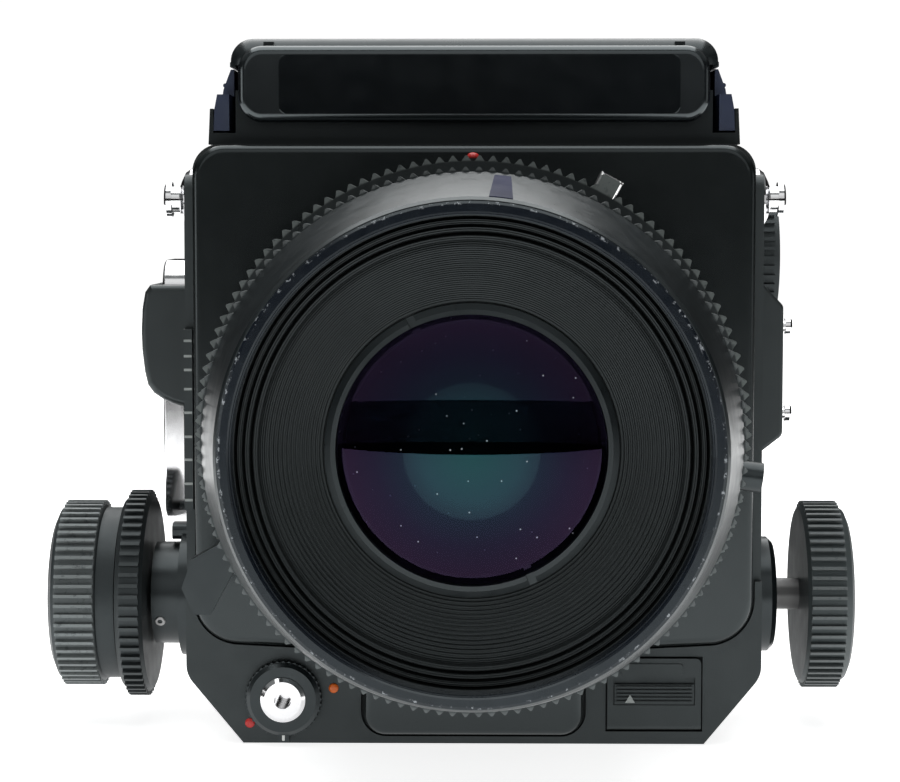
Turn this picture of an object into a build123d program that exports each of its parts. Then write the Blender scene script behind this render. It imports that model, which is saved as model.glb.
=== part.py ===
from build123d import *
import os
from math import cos, pi, radians, sin

# Medium-format single-lens reflex camera with a sliding front standard on a bellows, a
# waist-level finder and a revolving roll-film back. Millimetres. The lens looks along -Y,
# +X is to the right seen from the front, +Z is up, and the origin is the centre of the
# tripod socket's mouth on the underside.

# Body
BODY_HALF = 51.0          # half width of the casting, without the side covers
COVER_HALF = 52.6         # half width over the side covers
BODY_FRONT, BODY_REAR = -46.0, 50.0
BODY_TOP = 109.5
FOOT_HALF = 42.2          # half width of the flat underside
FOOT_RISE = 12.6          # height of the slanted lower flanks
WALL = 1.4
FLOOR_Z = 4.0
CHIN_FRONT = -47.5
BASE_THICK = 2.0

# Parts held in the body and its side covers; centres of what turns or presses
BATTERY_X, BATTERY_Z, BATTERY_BORE = 33.0, 9.4, 6.6
HATCH_Y, HATCH_Z, HATCH_R = -47.25, 3.5, 0.85
BUTTON_X, BUTTON_Z, BUTTON_R = -34.7, 8.5, 4.1
LEVER_Y, LEVER_Z = 9.0, 42.0
ARM_OUT, ARM_FRONT, GRIP_EDGE = -62.5, -2.0, 1.2
DIAL_Y, DIAL_Z, DIAL_R = 16.0, 88.0, 13.5
LUG_Y, LUG_Z = -20.0, 99.6
BEARING_R = {-1: 9.8, 1: 11.0}
GRIP_STUDS = ((-17.0, 75.2), (-17.0, 58.4))
BASE_SCREWS = [(x, y) for x in (-34.0, 34.0) for y in (-38.0, 42.0)]
SIDE_SCREWS = ((42.0, 24.0), (42.0, 98.0), (-38.0, 46.0))

# Optical axis and lens
LENS_Z = 58.7
RIM_Y = -107.0
RIM_R = 40.3
THREAD_R = 38.1           # wall of the 77 mm filter thread
SEAM_Y = -85.3            # where the front barrel meets the aperture ring
SEAM_R = 45.2
APERTURE_TIP_R = 46.0
LOCK_TIP_R = 48.3
MOUNT_R = 45.0
THROAT_R = 31.0
GLASS_R = 22.0

# Front standard
PLATE_FRONT = -50.0
PLATE_BACK = -46.3
PLATE_HALF = 50.7
PLATE_TOP = 109.3
PLATE_BOTTOM = 17.6
TONGUE_HALF = 20.0
TONGUE_BOTTOM = 1.9

# Focusing drive
SHAFT_Y, SHAFT_Z, SHAFT_R = -22.0, 23.9, 3.0
PINION_TEETH, MODULE = 12, 1.0
PITCH_R = PINION_TEETH * MODULE / 2
RACK_IN, RACK_OUT = 44.0, 49.0
KNOB_RIBS = 60

# Finder
HINGE_Y, HINGE_Z = -36.0, 122.2
HINGE_EAR = 1.9
WELL_HALF, WELL_FRONT, WELL_BACK = 39.0, -34.0, 48.0
FINDER_TOP = 123.8
LID_HALF, LID_TOP = 45.1, 129.2
CATCH_NOSE, CATCH_FRONT, CATCH_BACK = -42.6, -33.4, -14.0
FINDER_BACK = 49.9
REAR_PANEL_Y, REAR_PANEL_Z = 46.5, 117.7
SIDE_PANEL_X, SIDE_PANEL_Z = 38.0, 115.2
PANEL_THICK = 0.8
LOUPE_Y, LOUPE_Z = 10.0, 122.3
LOUPE_R = 14.5

# Mirror
MIRROR_Y, MIRROR_Z = 45.0, 91.7

# Film back
ADAPTER_BACK = 57.0
SHELL_BACK = 98.0
DOOR_BACK = 102.5
BACK_HALF_X, BACK_HALF_Z = 47.5, 45.5
SPIGOT_R = 46.0
DOOR_HINGE_X, DOOR_HINGE_Y = 49.7, 98.1
WIND_Y, WIND_Z = 82.0, 86.0

RUN = 0.05                # radial clearance of a running fit


# ------------------------------------------------------------------ basic shapes
def block(x0, x1, y0, y1, z0, z1):
    middle = Pos((x0 + x1) / 2, (y0 + y1) / 2, (z0 + z1) / 2)
    return middle * Box(abs(x1 - x0), abs(y1 - y0), abs(z1 - z0))


def rod_x(r, x0, x1, y, z):
    return Pos((x0 + x1) / 2, y, z) * Rot(0, 90, 0) * Cylinder(r, abs(x1 - x0))


def rod_y(r, y0, y1, x=0.0, z=LENS_Z):
    return Pos(x, (y0 + y1) / 2, z) * Rot(90, 0, 0) * Cylinder(r, abs(y1 - y0))


def rod_z(r, z0, z1, x, y):
    return Pos(x, y, (z0 + z1) / 2) * Cylinder(r, abs(z1 - z0))


def tube_y(r_out, r_in, y0, y1, x=0.0, z=LENS_Z):
    return rod_y(r_out, y0, y1, x, z) - rod_y(r_in, y0 - 1, y1 + 1, x, z)


def outline(points):
    return make_face(Polyline(*points, close=True))


def turned(points, x=0.0, z=LENS_Z):
    """A body turned about a line along Y; points are (y, radius)."""
    return Pos(x, 0, z) * revolve(outline([(r, y) for y, r in points]), Axis.Y, 360)


def turned_x(points, y, z):
    """A body turned about a line along X; points are (x, radius)."""
    return Pos(0, y, z) * revolve(outline(points), Axis.X, 360)


def along_y(face, y0, y1):
    """Extrude a face drawn in (x, z) from y0 to y1."""
    return Pos(0, y1, 0) * extrude(Plane.XZ * face, y1 - y0)


def along_x(face, x0, x1):
    """Extrude a face drawn in (y, z) from x0 to x1."""
    return Pos(x0, 0, 0) * extrude(Plane.YZ * face, x1 - x0)


def plate_face(half, z0, z1, r):
    return Pos(0, (z0 + z1) / 2) * RectangleRounded(2 * half, z1 - z0, r)


def toothed(count, tip, root, share=0.3):
    """A ring of straight-sided teeth; share is the part of a pitch that the tip takes."""
    step = 2 * pi / count
    points = []
    for n in range(count):
        for turn, r in ((-0.5 + share, root), (-share / 2, tip), (share / 2, tip), (0.5 - share, root)):
            a = (n + turn) * step
            points.append((r * cos(a), r * sin(a)))
    return outline(points)


def toothed_y(count, tip, root, y0, y1, share=0.3):
    return Pos(0, 0, LENS_Z) * along_y(toothed(count, tip, root, share), y0, y1)


def toothed_x(count, tip, root, x0, x1, y, z, share=0.3):
    return Pos(0, y, z) * along_x(toothed(count, tip, root, share), x0, x1)


def mirrored(solid):
    return mirror(solid, about=Plane.YZ)


# ------------------------------------------------------------------ body
def body_section(half, top, corner):
    foot = FOOT_HALF - (COVER_HALF - half) * 0.5
    face = outline([(-foot, 0), (foot, 0), (half, FOOT_RISE), (half, top), (-half, top), (-half, FOOT_RISE)])
    top_corners = face.vertices().filter_by(lambda v: v.Y > top - 1)
    face = fillet(top_corners, corner)
    low_corners = face.vertices().filter_by(lambda v: FOOT_RISE - 1 < v.Y < FOOT_RISE + 1)
    return fillet(low_corners, 5.0)


def body_shell():
    shell = along_y(body_section(BODY_HALF, BODY_TOP, 5.0), BODY_FRONT, BODY_REAR)
    inner = BODY_HALF - WALL
    shell -= block(-inner, inner, BODY_FRONT + 3, BODY_REAR - 3, 16.0, BODY_TOP - 2.5)
    shell -= block(-39, 39, BODY_FRONT + 3, BODY_REAR - 3, FLOOR_Z, 17.0)
    shell -= block(-42, 42, BODY_FRONT - 1, BODY_FRONT + 4, 20.5, 97.0)
    for side in (-1, 1):
        shell -= block(side * 43.6, side * 49.4, BODY_FRONT - 1, BODY_FRONT + 4, 28.6, 36.4)
        shell -= rod_x(BEARING_R[side] + 0.02, side * 49.5, side * 52, SHAFT_Y, SHAFT_Z)
    shell -= rod_y(SPIGOT_R + RUN, BODY_REAR - 4, BODY_REAR + 1)
    shell -= block(-38, 38, -24.0, 46.8, BODY_TOP - 3, BODY_TOP + 1)
    shell -= block(-40.2, 40.2, BODY_FRONT + 2, BODY_REAR - 2, -1, BASE_THICK)
    shell -= rod_z(9.0, 1.0, FLOOR_Z + 0.1, 0, 0)
    shell -= rod_y(BATTERY_BORE, BODY_FRONT - 1, BODY_FRONT + 4, BATTERY_X, BATTERY_Z)
    shell -= rod_y(6.4, BODY_FRONT - 1, BODY_FRONT + 4, BUTTON_X, BUTTON_Z)
    shell -= rod_x(3.0 + RUN, -52, -47, LEVER_Y, LEVER_Z)
    shell -= rod_x(3.0 + RUN, 47, 52, DIAL_Y, DIAL_Z)
    for x, y in BASE_SCREWS:
        shell -= rod_z(1.15, BASE_THICK - 0.5, 6.5, x, y)
    return shell


def battery_holder():
    """A block on the floor, with the battery's bore open to the front."""
    holder = block(BATTERY_X - 7.4, 39.0, BODY_FRONT + 3, -18.5, FLOOR_Z, 17.2)
    return holder - rod_y(BATTERY_BORE, BODY_FRONT, -20.0, BATTERY_X, BATTERY_Z)


def base_plate():
    plate = block(-40, 40, BODY_FRONT + 2.2, BODY_REAR - 2.2, 0, BASE_THICK - 0.05)
    plate -= rod_z(6.5, -1, 3, 0, 0)
    for x, y in BASE_SCREWS:
        plate -= rod_z(1.2, -1, 3, x, y) + rod_z(2.3, -1, 1.2, x, y)
    return plate


def tripod_bush():
    bush = rod_z(6.4, 0, BASE_THICK, 0, 0) + rod_z(8.8, BASE_THICK, 7.0, 0, 0)
    return bush - rod_z(3.97, -1, 6.0, 0, 0)


def cover_screws():
    screws = [rod_z(2.2, 0.1, 1.2, x, y) + rod_z(1.1, 1.2, 6.0, x, y) for x, y in BASE_SCREWS]
    for x, z in SIDE_SCREWS:
        for side in (-1, 1):
            screws.append(rod_x(1.6, side * (COVER_HALF - 0.7), side * (COVER_HALF + 0.1), x, z))
    return Compound(screws)


def front_lower_cover():
    face = body_section(COVER_HALF, BODY_TOP, 5.0) & Pos(0, 15) * Rectangle(120, 30)
    cover = along_y(face, CHIN_FRONT, BODY_FRONT)
    cover -= along_y(plate_outline(0.6), CHIN_FRONT - 1, BODY_FRONT + 1)
    cover -= rod_y(5.5 + RUN, CHIN_FRONT - 1, BODY_FRONT + 1, BUTTON_X, BUTTON_Z)
    cover -= block(24.2, 41.9, CHIN_FRONT - 1, BODY_FRONT + 1, 2.3, 16.2)
    return cover


def side_cover(side):
    low, high, front, back = 17.5, 104.0, BODY_FRONT + 0.4, BODY_REAR - 0.6
    skin = block(side * BODY_HALF, side * COVER_HALF, front, back, low, high)
    skin = fillet(skin.edges().filter_by(Axis.X), 3.0)
    skin -= rod_x(BEARING_R[side] + 0.3, side * 50, side * 53, SHAFT_Y, SHAFT_Z)
    if side < 0:
        skin -= rod_x(7.6, -50, -53, LEVER_Y, LEVER_Z)
    else:
        skin -= rod_x(5.6, 50, 53, DIAL_Y, DIAL_Z)
    skin -= rod_x(6.0, side * 50, side * 53, LUG_Y, LUG_Z)
    for y, z in SIDE_SCREWS:
        skin -= rod_x(1.7, side * (COVER_HALF - 0.75), side * 53, y, z)
    if side < 0:
        skin += block(-52.7, -51.1, front - 1.9, front + 0.1, 43.0, 76.0)
    return skin


def strap_lugs():
    lug = turned_x([(51.0, 0), (51.0, 5.9), (54.2, 5.9), (55.2, 5.2), (56.0, 3.6), (56.4, 2.5), (57.9, 2.5),
                    (57.9, 3.3), (58.9, 3.3), (59.3, 2.7), (59.3, 0)], LUG_Y, LUG_Z)
    return Compound([lug, mirrored(lug)])


def grip_mount():
    face = outline([(COVER_HALF, 50.4), (54.6, 52.4), (58.2, 55.2), (58.2, 79.6), (54.6, 83.4), (COVER_HALF, 85.6)])
    rounded = [v for v in face.vertices() if v.X > COVER_HALF + 0.5]
    mount = along_y(fillet(rounded, 1.6), -30, -4)
    return fillet(mount.edges().group_by(Axis.Y)[0], 0.6)


def grip_studs():
    stud = [(58.2, 0), (58.2, 1.1), (60.0, 1.1), (60.0, 1.7), (60.9, 1.7), (61.3, 1.3), (61.3, 0)]
    return Compound([turned_x(stud, y, z) for y, z in GRIP_STUDS])


def mirror_box():
    half, top = 41.4, 103.4
    box = block(-half, half, -38.0, -13.0, 27.4, top) + block(-half, half, -13.0, 46.7, 19.4, top)
    box -= block(-39, 39, -39.0, -11.0, 29.4, top - 2)
    box -= block(-39, 39, -11.5, 48.0, 21.4, top - 2)
    box -= block(-36.5, 36.5, -22.5, 45.0, top - 3, top + 1)
    for side in (-1, 1):
        box += block(side * half, side * 49.4, -40, 44, 36.4, 38.4)
    box -= rod_x(1.2 + RUN, -42, 42, MIRROR_Y, MIRROR_Z)
    return box


def focusing_screen():
    return block(-37.4, 37.4, -23.4, 46.4, 103.4, 105.8)


def tilted(solid):
    """Turn a solid drawn level in front of the mirror hinge down to its 45 degree rest."""
    return Pos(0, MIRROR_Y, MIRROR_Z) * Rot(45, 0, 0) * solid


def mirror_holder():
    holder = block(-37.0, 37.0, -78.0, -1.5, -2.2, -0.6) + rod_x(1.2, -40.6, 40.6, 0, 0)
    holder += block(-30, 30, -3.0, 0.0, -1.9, -0.2)
    return tilted(holder)


def mirror_glass():
    return tilted(block(-36.5, 36.5, -77.5, -4.0, -0.6, 1.2))


# ------------------------------------------------------------------ controls on the body
def release_collar():
    collar = turned([(-50.2, BUTTON_R + RUN), (-50.2, 6.0), (-49.5, 6.7), (-47.7, 6.7), (-47.7, 5.5),
                     (-45.6, 5.5), (-45.6, BUTTON_R + RUN)], BUTTON_X, BUTTON_Z)
    nub = block(BUTTON_X - 1.0, BUTTON_X + 1.0, -49.4, -47.8, BUTTON_Z - 7.9, BUTTON_Z - 6.2)
    return collar + nub


def shutter_button():
    button = turned([(-51.0, 0), (-51.0, 3.4), (-50.4, BUTTON_R), (-45.0, BUTTON_R), (-45.0, 0)],
                    BUTTON_X, BUTTON_Z)
    return button - rod_y(1.55, -52, -46, BUTTON_X, BUTTON_Z)


def battery_door():
    """A flap that hangs on the round edge along its foot."""
    door = block(24.5, 41.6, HATCH_Y - HATCH_R, HATCH_Y + HATCH_R, HATCH_Z, 15.9)
    upper = door.edges().filter_by(Axis.Y).group_by(Axis.Z)[-1]
    door = fillet(upper, 1.0)
    door -= block(25.6, 40.5, -48.3, -47.5, 7.3, 12.4)
    return door + rod_x(HATCH_R, 24.5, 41.6, HATCH_Y, HATCH_Z)


def battery_latch():
    latch = block(25.8, 40.3, -48.4, -47.6, 7.5, 11.2)
    for row in range(5):
        latch += block(26.2, 39.9, -48.9, -48.3, 7.9 + 0.68 * row, 8.2 + 0.68 * row)
    return latch


def cocking_arm():
    arm = block(ARM_OUT, -53.2, ARM_FRONT, 20.0, 33.8, 87.6)
    arm = fillet(arm.edges().filter_by(Axis.X), 6.0)
    arm = fillet(arm.edges().group_by(Axis.X)[0], 0.6)
    hollow = block(-61.0, -52.0, -0.5, 18.5, 35.1, 85.7)
    arm -= fillet(hollow.edges().filter_by(Axis.X), 4.5)
    arm += rod_x(7.2, -61.5, -52.6, LEVER_Y, LEVER_Z) + rod_x(3.0, -52.7, -47.5, LEVER_Y, LEVER_Z)
    return arm


def cocking_grip():
    """A moulded finger pad, wrapped round the arm's front and outer faces."""
    side = [(-64.2, 82.8), (-65.2, 81.4), (-65.8, 78.0), (-66.0, 73.7), (-65.9, 70.0), (-65.4, 65.6), (-64.8, 63.0),
            (-63.6, 61.4), (-61.7, 60.1), (-59.9, 59.3), (-57.6, 58.7)]
    grip = along_y(outline([(-53.6, 82.8), *side, (-53.6, 58.2)]), -8.0, 22.0)
    grip = fillet(grip.edges().group_by(Axis.Y)[0], GRIP_EDGE)
    return grip - block(ARM_OUT, -50, ARM_FRONT, 30, 50, 90)


def shutter_speed_dial():
    dial = toothed_x(44, DIAL_R, DIAL_R - 0.7, 53.4, 60.4, DIAL_Y, DIAL_Z, 0.35)
    dial += rod_x(DIAL_R - 1.0, 60.4, 61.4, DIAL_Y, DIAL_Z) + rod_x(5.2, 51.2, 53.4, DIAL_Y, DIAL_Z)
    return dial + rod_x(3.0, 46.5, 51.2, DIAL_Y, DIAL_Z)


def focus_lock_lever():
    ring = rod_x(12.0, -56.0, -53.4, SHAFT_Y, SHAFT_Z)
    tab = block(-58.0, -53.4, -24.6, -19.4, SHAFT_Z + 10.5, SHAFT_Z + 13.6)
    lever = ring + fillet(tab.edges().filter_by(Axis.X), 1.2)
    return lever - rod_x(9.8 + RUN, -60, -50, SHAFT_Y, SHAFT_Z)


# ------------------------------------------------------------------ focusing drive
def bearing(side):
    r = BEARING_R[side]
    if side < 0:
        body = rod_x(r, -61.2, -49.6, SHAFT_Y, SHAFT_Z)
    else:
        body = turned_x([(49.6, 0), (49.6, r), (56.2, r), (57.2, r - 1.0), (57.2, 0)], SHAFT_Y, SHAFT_Z)
    return body - rod_x(SHAFT_R + RUN, side * 45, side * 65, SHAFT_Y, SHAFT_Z)


def focus_bearings():
    return Compound([bearing(-1), bearing(1)])


def pinion_face():
    return toothed(PINION_TEETH, PITCH_R + 0.75, PITCH_R - 1.05, 0.2)


def focus_shaft():
    shaft = rod_x(SHAFT_R, -78.5, 68.0, SHAFT_Y, SHAFT_Z)
    for side in (-1, 1):
        low, high = sorted((side * 44.6, side * 48.4))
        shaft += Pos(0, SHAFT_Y, SHAFT_Z) * along_x(pinion_face(), low, high)
    return shaft


def focus_racks():
    """Two toothed bars that carry the standard; the teeth face down on to the pinions."""
    pitch = pi * MODULE
    line = SHAFT_Z + PITCH_R
    points = [(PLATE_BACK, line + 5.8), (PLATE_BACK, line + 1.1)]
    for n in range(-1, 17):
        middle = SHAFT_Y + (n + 0.5) * pitch
        points += [(middle - 0.27 * pitch, line + 1.1), (middle - 0.1 * pitch, line - 0.7),
                   (middle + 0.1 * pitch, line - 0.7), (middle + 0.27 * pitch, line + 1.1)]
    points += [(31.5, line + 1.1), (31.5, line + 5.8)]
    face = outline(points)
    return Compound([along_x(face, -RACK_OUT, -RACK_IN), along_x(face, RACK_IN, RACK_OUT)])


def coarse_focus_ring():
    ring = toothed_x(KNOB_RIBS, 19.8, 19.0, -66.0, -62.4, SHAFT_Y, SHAFT_Z, 0.32)
    ring += turned_x([(-67.0, 0), (-67.0, 18.0), (-66.0, 18.9), (-62.4, 18.9), (-61.8, 18.2), (-61.8, 0)],
                     SHAFT_Y, SHAFT_Z)
    return ring - rod_x(SHAFT_R, -70, -60, SHAFT_Y, SHAFT_Z)


def fine_focus_knob():
    knob = toothed_x(KNOB_RIBS, 17.8, 17.0, -78.4, -71.2, SHAFT_Y, SHAFT_Z, 0.32)
    knob += turned_x([(-80.0, 0), (-80.0, 14.6), (-79.2, 16.4), (-78.0, 17.0), (-71.2, 17.0), (-70.8, 16.4),
                      (-67.4, 16.4), (-67.4, 0)], SHAFT_Y, SHAFT_Z)
    return knob - rod_x(SHAFT_R + RUN, -79.0, -60, SHAFT_Y, SHAFT_Z)


def coarse_focus_knob():
    knob = toothed_x(KNOB_RIBS, 17.9, 17.1, 62.9, 69.4, SHAFT_Y, SHAFT_Z, 0.32)
    knob += turned_x([(62.3, 0), (62.3, 16.4), (62.9, 17.1), (69.4, 17.1), (70.6, 16.2), (71.2, 14.8),
                      (71.2, 0)], SHAFT_Y, SHAFT_Z)
    return knob - rod_x(SHAFT_R, 60, 69.0, SHAFT_Y, SHAFT_Z)


# ------------------------------------------------------------------ front standard
def standard_frame():
    frame = along_y(plate_inside(0.1), -48.3, PLATE_BACK)
    frame += rod_y(MOUNT_R, -57.0, -48.3)
    frame += block(-36, 36, PLATE_BACK, -43.6, LENS_Z - 36, LENS_Z + 36)
    frame -= block(-34.2, 34.2, -45.4, -43, LENS_Z - 34.2, LENS_Z + 34.2)
    return frame - rod_y(THROAT_R, -60, -40)


def plate_outline(gap):
    """The cover's outline: a plate whose lower edge dips to the tongue, grown by a gap."""
    half, low, dip = PLATE_HALF + gap, PLATE_BOTTOM + 1.6 - gap, PLATE_BOTTOM - gap
    inner, top = TONGUE_HALF, PLATE_TOP + gap
    face = outline([(-half, low), (-inner, dip), (inner, dip), (half, low), (half, top), (-half, top)])
    face = fillet(face.vertices().filter_by(lambda v: v.Y > top - 1), 6.0 + gap)
    face = fillet(face.vertices().filter_by(lambda v: abs(v.X) > half - 1 and v.Y < low + 1), 8.0 + gap)
    return face + plate_face(TONGUE_HALF + gap, TONGUE_BOTTOM - gap, 60, 4.0 + gap)


def plate_inside(gap):
    """The pocket in the back of the cover, above the tongue, less a gap."""
    low = PLATE_BOTTOM + 2.4 + gap
    return plate_outline(-1.6 - gap) & Pos(0, low + 50) * Rectangle(110, 100)


def front_cover():
    face = plate_outline(0.0)
    cover = along_y(face, PLATE_FRONT, PLATE_BACK)
    cover = fillet(cover.edges().group_by(Axis.Y)[0], 1.4)
    cover -= along_y(plate_inside(0.0), -48.4, PLATE_BACK + 1)
    return cover - rod_y(MOUNT_R + 0.3, PLATE_FRONT - 1, PLATE_BACK + 1)


def bellows():
    """The folded stack between the standard and the body's front frame."""
    front, back = -43.5, -38.1
    outer = block(-35.5, 35.5, front, back, LENS_Z - 35.5, LENS_Z + 35.5)
    return outer - block(-33.5, 33.5, front - 1, back + 1, LENS_Z - 33.5, LENS_Z + 33.5)


def lens_lock_ring():
    ring = toothed_y(130, LOCK_TIP_R, LOCK_TIP_R - 1.0, -67.5, -61.0, 0.12)
    ring += rod_y(47.2, -68.0, -60.0) + rod_y(46.6, -60.0, -52.5)
    ring -= rod_y(MOUNT_R + RUN, -69, -51)
    a = radians(61.6)
    tab = Pos(48.2 * cos(a), 0, LENS_Z + 48.2 * sin(a)) * Rot(0, 90 - 61.6, 0) * Box(3.4, 4.0, 4.4)
    return ring + (Pos(0, -65.6, 0) * tab - rod_y(46.0, -70, -50))


# ------------------------------------------------------------------ lens
def rear_barrel():
    barrel = turned([(-76.6, 35.2), (-76.6, 44.0), (-76.0, 44.6), (-57.1, 44.6), (-57.1, 30.6), (-44.0, 30.6),
                     (-41.0, 27.0), (-41.0, 24.0), (-57.0, 24.0), (-57.0, 35.2)])
    a = radians(-8.0)
    socket = Cylinder(2.6, 6.0) - Pos(0, 0, 3) * Cylinder(1.2, 4.0)
    return barrel + Pos(47.0 * cos(a), -72.5, LENS_Z + 47.0 * sin(a)) * Rot(0, 98, 0) * socket


def aperture_ring():
    ring = toothed_y(130, APERTURE_TIP_R, APERTURE_TIP_R - 0.8, SEAM_Y + 0.3, -77.4, 0.14)
    return ring - rod_y(38.0 + RUN, -90, -70)


def front_barrel():
    return turned([(-106.2, 39.3), (-106.2, 40.5), (-105.4, 41.0), (SEAM_Y + 0.2, SEAM_R), (SEAM_Y, 44.8),
                   (SEAM_Y, 38.0), (-76.7, 38.0), (-76.7, 35.2), (-88.0, 35.2), (-92.0, 39.3)])


def filter_ring():
    return turned([(RIM_Y, 38.7), (RIM_Y, 39.9), (-106.7, RIM_R), (-106.2, RIM_R), (-106.2, 39.3),
                   (-102.4, 39.3), (-102.4, THREAD_R), (-106.4, THREAD_R)])


def lens_baffle():
    """A stepped rim followed by a shallow ribbed cone that falls to the glass."""
    points = [(-102.3, 39.2), (-92.2, 39.2), (-92.2, 24.0), (-96.0, 24.0)]
    grooves, pitch, rise = 14, 0.65, 0.36
    for n in range(grooves):
        r, y = 24.4 + pitch * n, -96.2 - rise * n
        points += [(y, r), (y, r + pitch / 2), (y - rise, r + pitch / 2)]
    for n in range(4):
        r = 34.0 + 1.25 * n
        points += [(-101.0, r), (-102.3, r + 0.25), (-102.3, r + 0.9)]
    points += [(-102.3, 38.4)]
    return turned(points)


def front_element():
    edge, crown = -95.2, 3.4
    bulge = (GLASS_R ** 2 + crown ** 2) / (2 * crown)
    glass = Pos(0, edge - crown + bulge, LENS_Z) * Sphere(bulge)
    return glass & rod_y(GLASS_R, edge - crown - 1, -91.0)


def retaining_ring():
    ring = turned([(-96.9, 22.1), (-96.9, 22.9), (-96.4, 23.9), (-92.3, 23.9), (-92.3, 22.1)])
    for a in (115.0, 295.0):
        slot = Pos(23.2 * cos(radians(a)), -96.8, LENS_Z + 23.2 * sin(radians(a))) * Rot(0, -a, 0)
        ring -= slot * Box(2.6, 1.2, 1.4)
    return ring


def rear_elements():
    """The glass behind the front element, in the order the light meets it."""
    cells = ((20.0, -90.2, -86.5), (18.5, -84.5, -79.0), (18.0, -66.0, -61.0), (19.0, -55.0, -49.5))
    return Compound([turned([(front, 0), (front + 1.4, r), (back, r), (back - 1.0, 0)])
                     for r, front, back in cells])


def shutter_housing():
    """The inner barrel: cells for the glass either side of the chamber for the blades."""
    housing = rod_y(35.0, -88.0, -57.2) + rod_y(23.8, -92.0, -88.0) + rod_y(23.8, -57.2, -45.0)
    for r, y0, y1 in ((18.0, -93, -44), (22.1, -93, -90.4), (20.1, -91, -86.4), (18.6, -86.5, -78.9),
                      (33.0, -76.0, -67.0), (18.1, -66.2, -60.9), (19.1, -55.2, -44)):
        housing -= rod_y(r, y0, y1)
    return housing


def iris_blade(n):
    """One crescent of the five-blade diaphragm, on its own pivot and its own level."""
    blade = rod_y(30.0, 0, 0.3, 0, 0) - rod_y(21.0, -1, 1, 6.5, 2.0)
    blade &= block(-32, 6, -1, 1, -12, 32)
    y = -75.0 + 0.5 * n
    return Pos(0, y, LENS_Z) * Rot(0, 72 * n, 0) * blade


def iris_blades():
    return Compound([iris_blade(n) for n in range(5)])


def preview_lever():
    lever = outline([(-50.0, -26.0), (-48.3, -21.0), (-43.0, -18.0), (-40.5, -22.0), (-45.0, -30.5), (-47.8, -30.5)])
    tab = along_y(lever, -74.6, -70.6)
    return Pos(0, 0, LENS_Z) * (tab - rod_y(44.9, -80, -60, 0, 0))


# ------------------------------------------------------------------ finder
def finder_base():
    right = [(48.4, BODY_TOP), (48.1, 116.0), (45.4, 117.2), (45.0, FINDER_TOP)]
    left = [(-x, z) for x, z in reversed(right)]
    base = along_y(outline(right + left), -42.8, FINDER_BACK)
    base += block(-48.8, 48.8, CATCH_BACK, FINDER_BACK, BODY_TOP, 112.2)
    base -= block(-WELL_HALF, WELL_HALF, WELL_FRONT, WELL_BACK, BODY_TOP - 1, FINDER_TOP + 1)
    base -= block(-60, 60, -44, WELL_FRONT, 119.3, FINDER_TOP + 1)
    for side in (-1, 1):
        base -= block(side * 43.4, side * 47.5, -44, CATCH_BACK + 0.4, 111.6, FINDER_TOP + 1)
        base -= block(side * 43.4, side * 60, -44, CATCH_BACK + 0.4, 116.0, FINDER_TOP + 1)
        base += rod_x(HINGE_EAR, side * WELL_HALF, side * 43.0, HINGE_Y, HINGE_Z)
        base += block(side * WELL_HALF, side * 43.0, HINGE_Y - HINGE_EAR, WELL_FRONT, 119.0, HINGE_Z)
        base -= rod_x(1.0 + RUN, side * 38, side * 41, HINGE_Y, HINGE_Z)
        base -= rod_x(1.0 + RUN, side * 38, side * 41, REAR_PANEL_Y, REAR_PANEL_Z)
        base -= rod_y(0.8 + RUN, WELL_FRONT - 2, WELL_BACK + 2, side * SIDE_PANEL_X, SIDE_PANEL_Z)
    return base


def finder_nameplate():
    plate = along_y(plate_face(42.7, 113.4, 127.2, 4.5), -46.5, -43.0)
    return fillet(plate.edges().group_by(Axis.Y)[0], 1.6)


def hood_lid():
    lid = block(-LID_HALF, LID_HALF, HINGE_Y - 2.5, FINDER_BACK, FINDER_TOP + 0.4, LID_TOP)
    lid = fillet(lid.edges().group_by(Axis.Z)[-1] + lid.edges().filter_by(Axis.Z), 4.2)
    inner = LID_HALF - 1.7
    lid -= block(-inner, inner, HINGE_Y - 0.8, FINDER_BACK - 1.6, FINDER_TOP - 1, LID_TOP - 1.6)
    for side in (-1, 1):
        low, high = FINDER_TOP + 0.1, FINDER_TOP + 1
        lid += block(side * (inner + 0.6), side * LID_HALF, HINGE_Y + 0.1, FINDER_BACK, low, high)
        ear = block(side * 36.8, side * 38.7, HINGE_Y - 2, HINGE_Y + 2, HINGE_Z, 128.4)
        lid += ear + rod_x(2.0, side * 36.8, side * 38.7, HINGE_Y, HINGE_Z)
        lid += rod_x(1.0, side * 38.6, side * 40.7, HINGE_Y, HINGE_Z)
        hook = block(side * 24.6, side * 26.2, LOUPE_Y - 1.8, LOUPE_Y + 1.8, LOUPE_Z, 128.4)
        lid += hook + rod_x(1.8, side * 24.6, side * 26.2, LOUPE_Y, LOUPE_Z)
        lid -= rod_x(0.9 + RUN, side * 24, side * 27, LOUPE_Y, LOUPE_Z)
    return lid


def hood_rear_panel():
    half = PANEL_THICK / 2
    panel = block(-37.6, 37.6, 10.6, REAR_PANEL_Y, REAR_PANEL_Z - half, REAR_PANEL_Z + half)
    return panel + rod_x(1.0, -40.6, 40.6, REAR_PANEL_Y, REAR_PANEL_Z)


def hood_side_panel(side):
    """A leaf with 45 degree ends, which clear the lid and the rear panel as they all rise."""
    reach, half = 37.2, PANEL_THICK / 2
    front, back = WELL_FRONT + 0.6, WELL_BACK - 0.6
    edge, tip = side * SIDE_PANEL_X, side * (SIDE_PANEL_X - reach)
    leaf = outline([(edge, front), (tip, front + reach), (tip, back - reach), (edge, back)])
    panel = Pos(0, 0, SIDE_PANEL_Z - half) * extrude(leaf, PANEL_THICK)
    return panel + rod_y(0.8, WELL_FRONT - 1.8, WELL_BACK + 1.8, edge, SIDE_PANEL_Z)


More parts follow.
